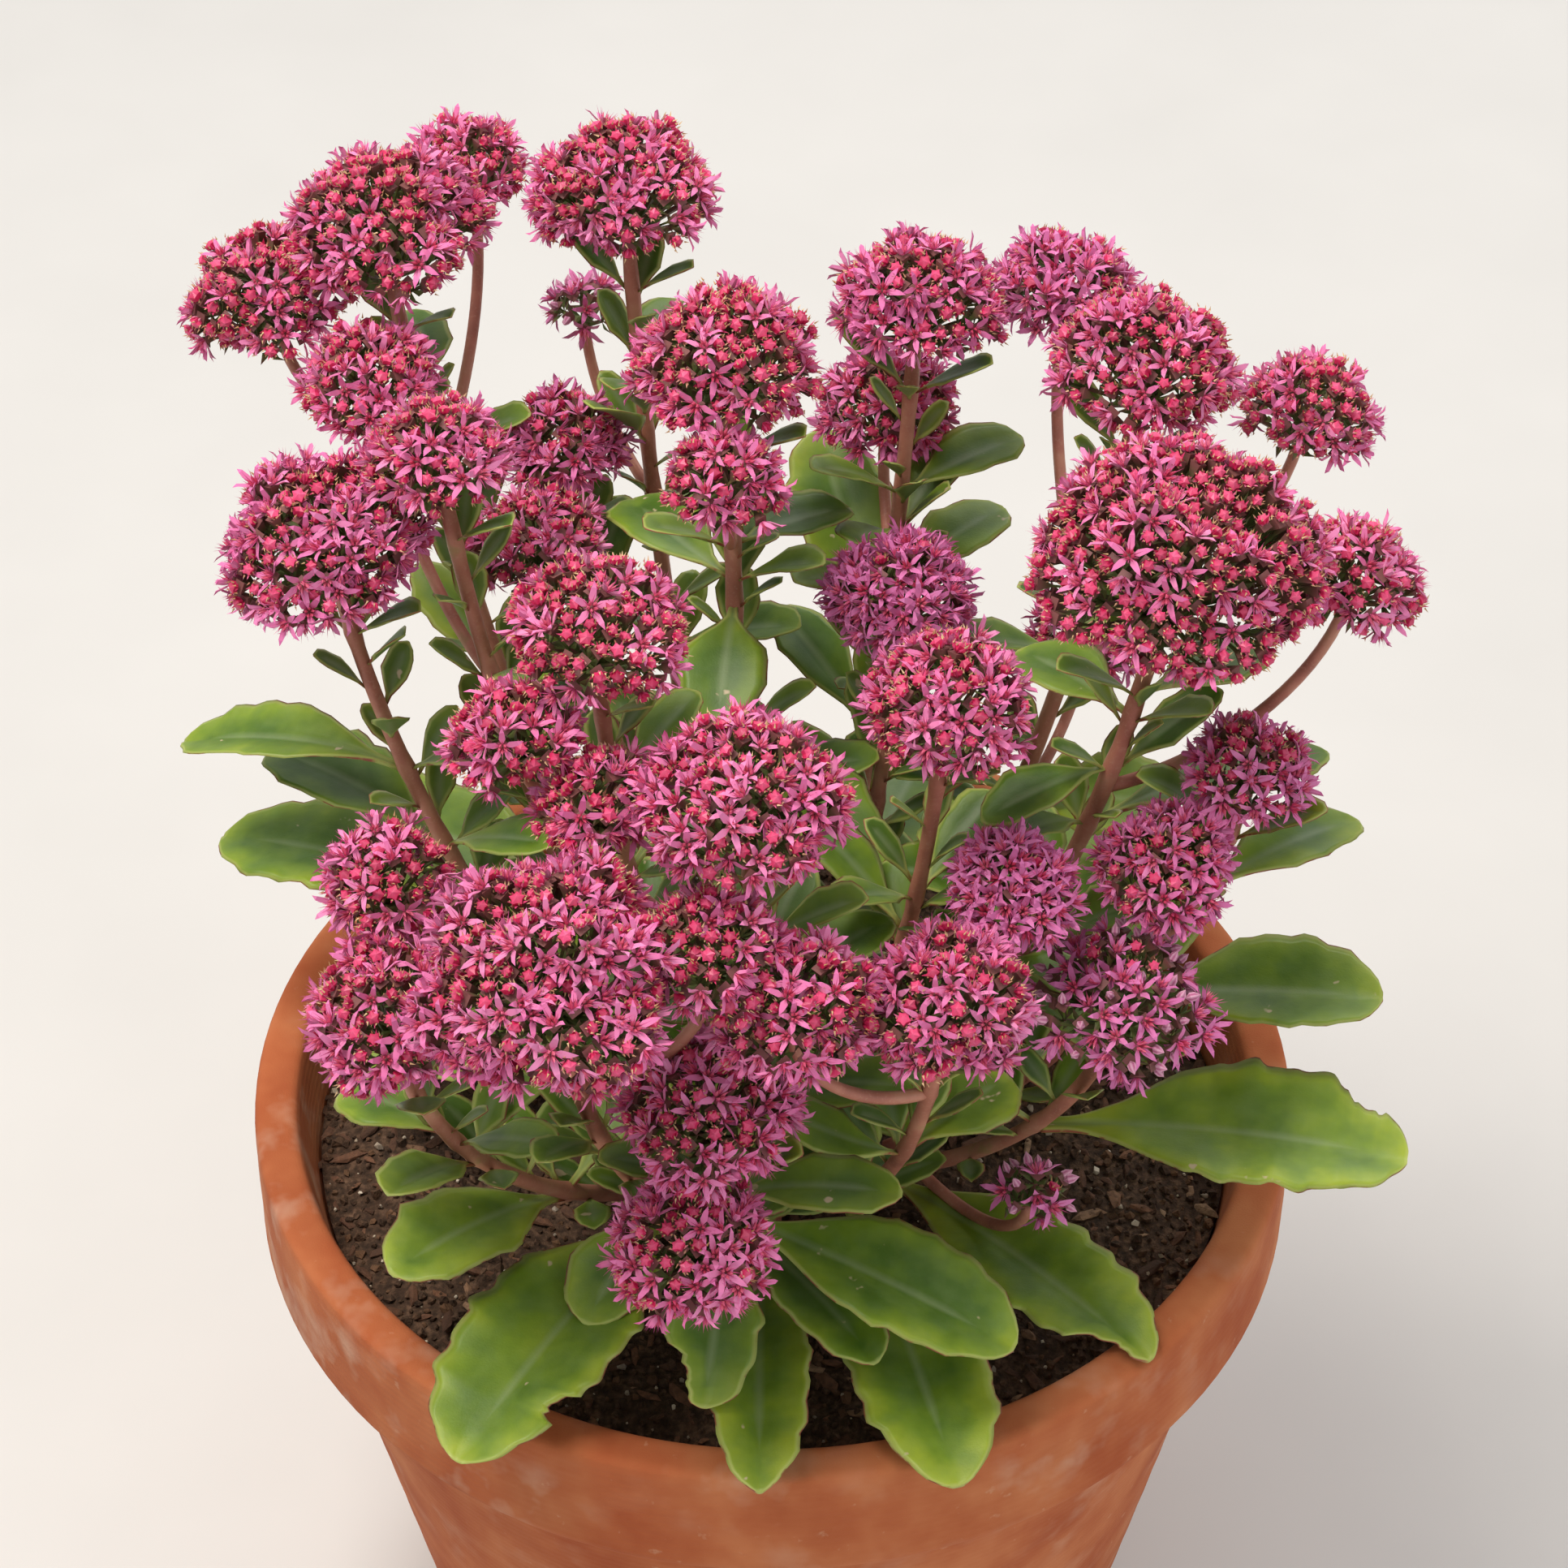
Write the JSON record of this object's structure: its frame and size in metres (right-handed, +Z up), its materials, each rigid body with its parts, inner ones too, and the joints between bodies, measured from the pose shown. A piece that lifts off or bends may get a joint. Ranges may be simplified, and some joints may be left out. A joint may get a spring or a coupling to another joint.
{
  "type": "potted stonecrop",
  "caption": "Flowering clump stonecrop in a plain tapered terracotta pot: leafy fleshy stems that carry domed heads of star-shaped pink florets.",
  "frame": {"origin": "middle of the pot's foot, on the surface that it stands on", "axes": "+Z up, out of the pot; -Y towards the side that the picture shows; +X to its right"},
  "size_m": [0.318, 0.318, 0.4416],
  "materials": {
    "terracotta": "matte",
    "soil": "matte",
    "foliage": "satin",
    "bloom": "matte",
    "late_bloom": "matte"
  },
  "bodies": {
    "root": {"pot": "terracotta", "soil": "soil", "stem_01": "foliage", "stem_02": "foliage", "stem_03": "foliage", "stem_04": "foliage", "stem_05": "foliage", "stem_06": "foliage", "stem_07": "foliage", "stem_08": "foliage", "stem_09": "foliage", "stem_10": "foliage", "stem_11": "foliage", "stem_12": "foliage", "stem_13": "foliage", "stem_14": "foliage", "stem_15": "foliage", "stem_16": "foliage", "stem_17": "foliage", "stem_18": "foliage", "stem_19": "foliage", "head_01a": "bloom", "head_01b": "bloom", "head_01c": "bloom", "head_02a": "bloom", "head_02b": "late_bloom", "head_03a": "bloom", "head_03b": "bloom", "head_04a": "bloom", "head_04b": "bloom", "head_05a": "bloom", "head_06a": "bloom", "head_06b": "bloom", "head_07a": "bloom", "head_07b": "bloom", "head_08a": "bloom", "head_08b": "bloom", "head_09a": "bloom", "head_09b": "bloom", "head_09c": "bloom", "head_09d": "bloom", "head_10a": "bloom", "head_10b": "bloom", "head_11a": "bloom", "head_12a": "bloom", "head_12b": "late_bloom", "head_13a": "bloom", "head_13b": "bloom", "head_14a": "late_bloom", "head_14b": "late_bloom", "head_15a": "bloom", "head_15b": "bloom", "head_16a": "bloom", "head_16b": "bloom", "head_17a": "bloom", "head_17b": "bloom", "head_18a": "bloom", "head_18b": "bloom", "head_19a": "bloom", "head_19b": "bloom"}
  },
  "joints": []
}
